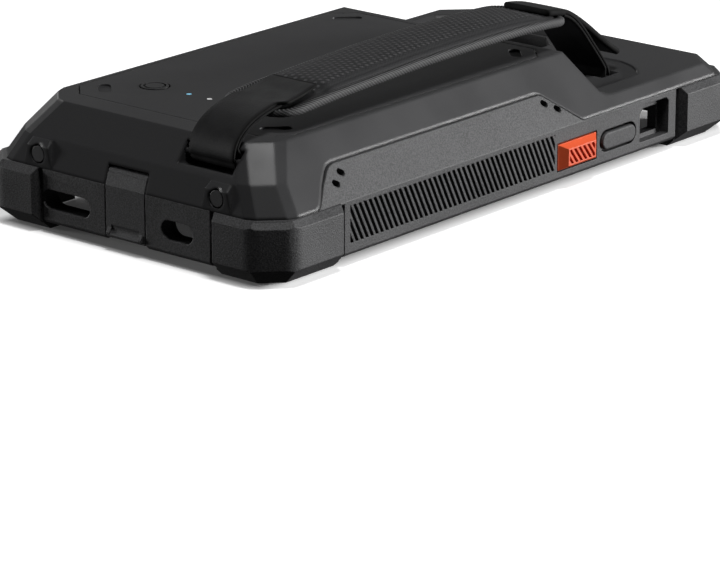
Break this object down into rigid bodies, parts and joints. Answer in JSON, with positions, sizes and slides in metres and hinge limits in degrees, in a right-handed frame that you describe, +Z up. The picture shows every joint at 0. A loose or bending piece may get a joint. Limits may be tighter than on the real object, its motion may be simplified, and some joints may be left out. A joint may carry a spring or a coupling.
{
  "type": "phone sled",
  "caption": "Rugged phone sled: an open cavity for a phone, corner bumpers, a back battery housing with buttons and lights, and a padded hand strap.",
  "frame": {"origin": "centre of the bounding box at ground height, under the four corner lips", "axes": "+X from the phone's port end to the phone's top end, +Y to the phone's button side with one key, +Z up out of the back housing"},
  "size_m": [0.1618, 0.0844, 0.0353],
  "materials": {
    "frame_tpu": "grained elastomer",
    "tray_plastic": "satin",
    "housing_plastic": "satin",
    "cover_plastic": "satin",
    "bezel_rubber": "matt",
    "foam": "soft foam",
    "door_rubber": "matt",
    "steel": "plain",
    "orange_plastic": "satin",
    "switch_metal": "plain",
    "key_rubber": "matt",
    "circuit_board": "plain",
    "connector_plastic": "plain",
    "battery_foil": "foil",
    "copper": "enamelled wire",
    "black_steel": "black",
    "strap_leather": "smooth coated webbing",
    "pad_mesh": "mesh with a dot pattern",
    "braid": "braided edge",
    "liner_fabric": "soft lining",
    "led_blue": "lit light pipe",
    "led_white": "lit light pipe"
  },
  "bodies": {
    "sled": {"bumper_frame": "frame_tpu", "phone_tray": "tray_plastic", "back_housing": "housing_plastic", "top_cover": "cover_plastic", "camera_bezel": "bezel_rubber", "end_foam": "foam", "door_pin": "steel", "action_switch": "switch_metal", "power_switch": "switch_metal", "led_pipe_blue": "led_blue", "led_pipe_white": "led_white", "control_board": "circuit_board", "main_board": "circuit_board", "board_link": "connector_plastic", "battery_cell": "battery_foil", "charging_coil": "copper", "end_screws": "black_steel", "tray_screws": "steel", "strap_bar_front": "black_steel", "strap_bar_rear": "black_steel", "strap_tab_front": "strap_leather", "strap_tab_rear": "strap_leather", "strap_pad": "pad_mesh", "strap_binding": "braid", "pad_liner": "liner_fabric"},
    "door": {"port_door": "door_rubber"},
    "action": {"action_button": "orange_plastic"},
    "volume": {"volume_key": "key_rubber"},
    "phone_power": {"phone_power_key": "key_rubber"},
    "power": {"power_button": "cover_plastic"}
  },
  "joints": [
    {"name": "door_hinge", "type": "hinge", "parent": "sled", "child": "door", "pos_m": [-0.0773, 0, 0.0164], "axis": [0, 1, 0], "range_deg": [0, 90]},
    {"name": "action_press", "type": "slide", "parent": "sled", "child": "action", "axis": [0, 1, 0], "range_m": [0, 0.0005], "stiffness_N_per_m": 400, "springref_m": -0.0008},
    {"name": "volume_press", "type": "slide", "parent": "sled", "child": "volume", "axis": [0, 1, 0], "range_m": [0, 0.0005], "stiffness_N_per_m": 400, "springref_m": -0.0008},
    {"name": "phone_power_press", "type": "slide", "parent": "sled", "child": "phone_power", "axis": [0, -1, 0], "range_m": [0, 0.0005], "stiffness_N_per_m": 400, "springref_m": -0.0008},
    {"name": "power_press", "type": "slide", "parent": "sled", "child": "power", "axis": [0, 0, -1], "range_m": [0, 0.0004], "stiffness_N_per_m": 400, "springref_m": -0.0008}
  ]
}
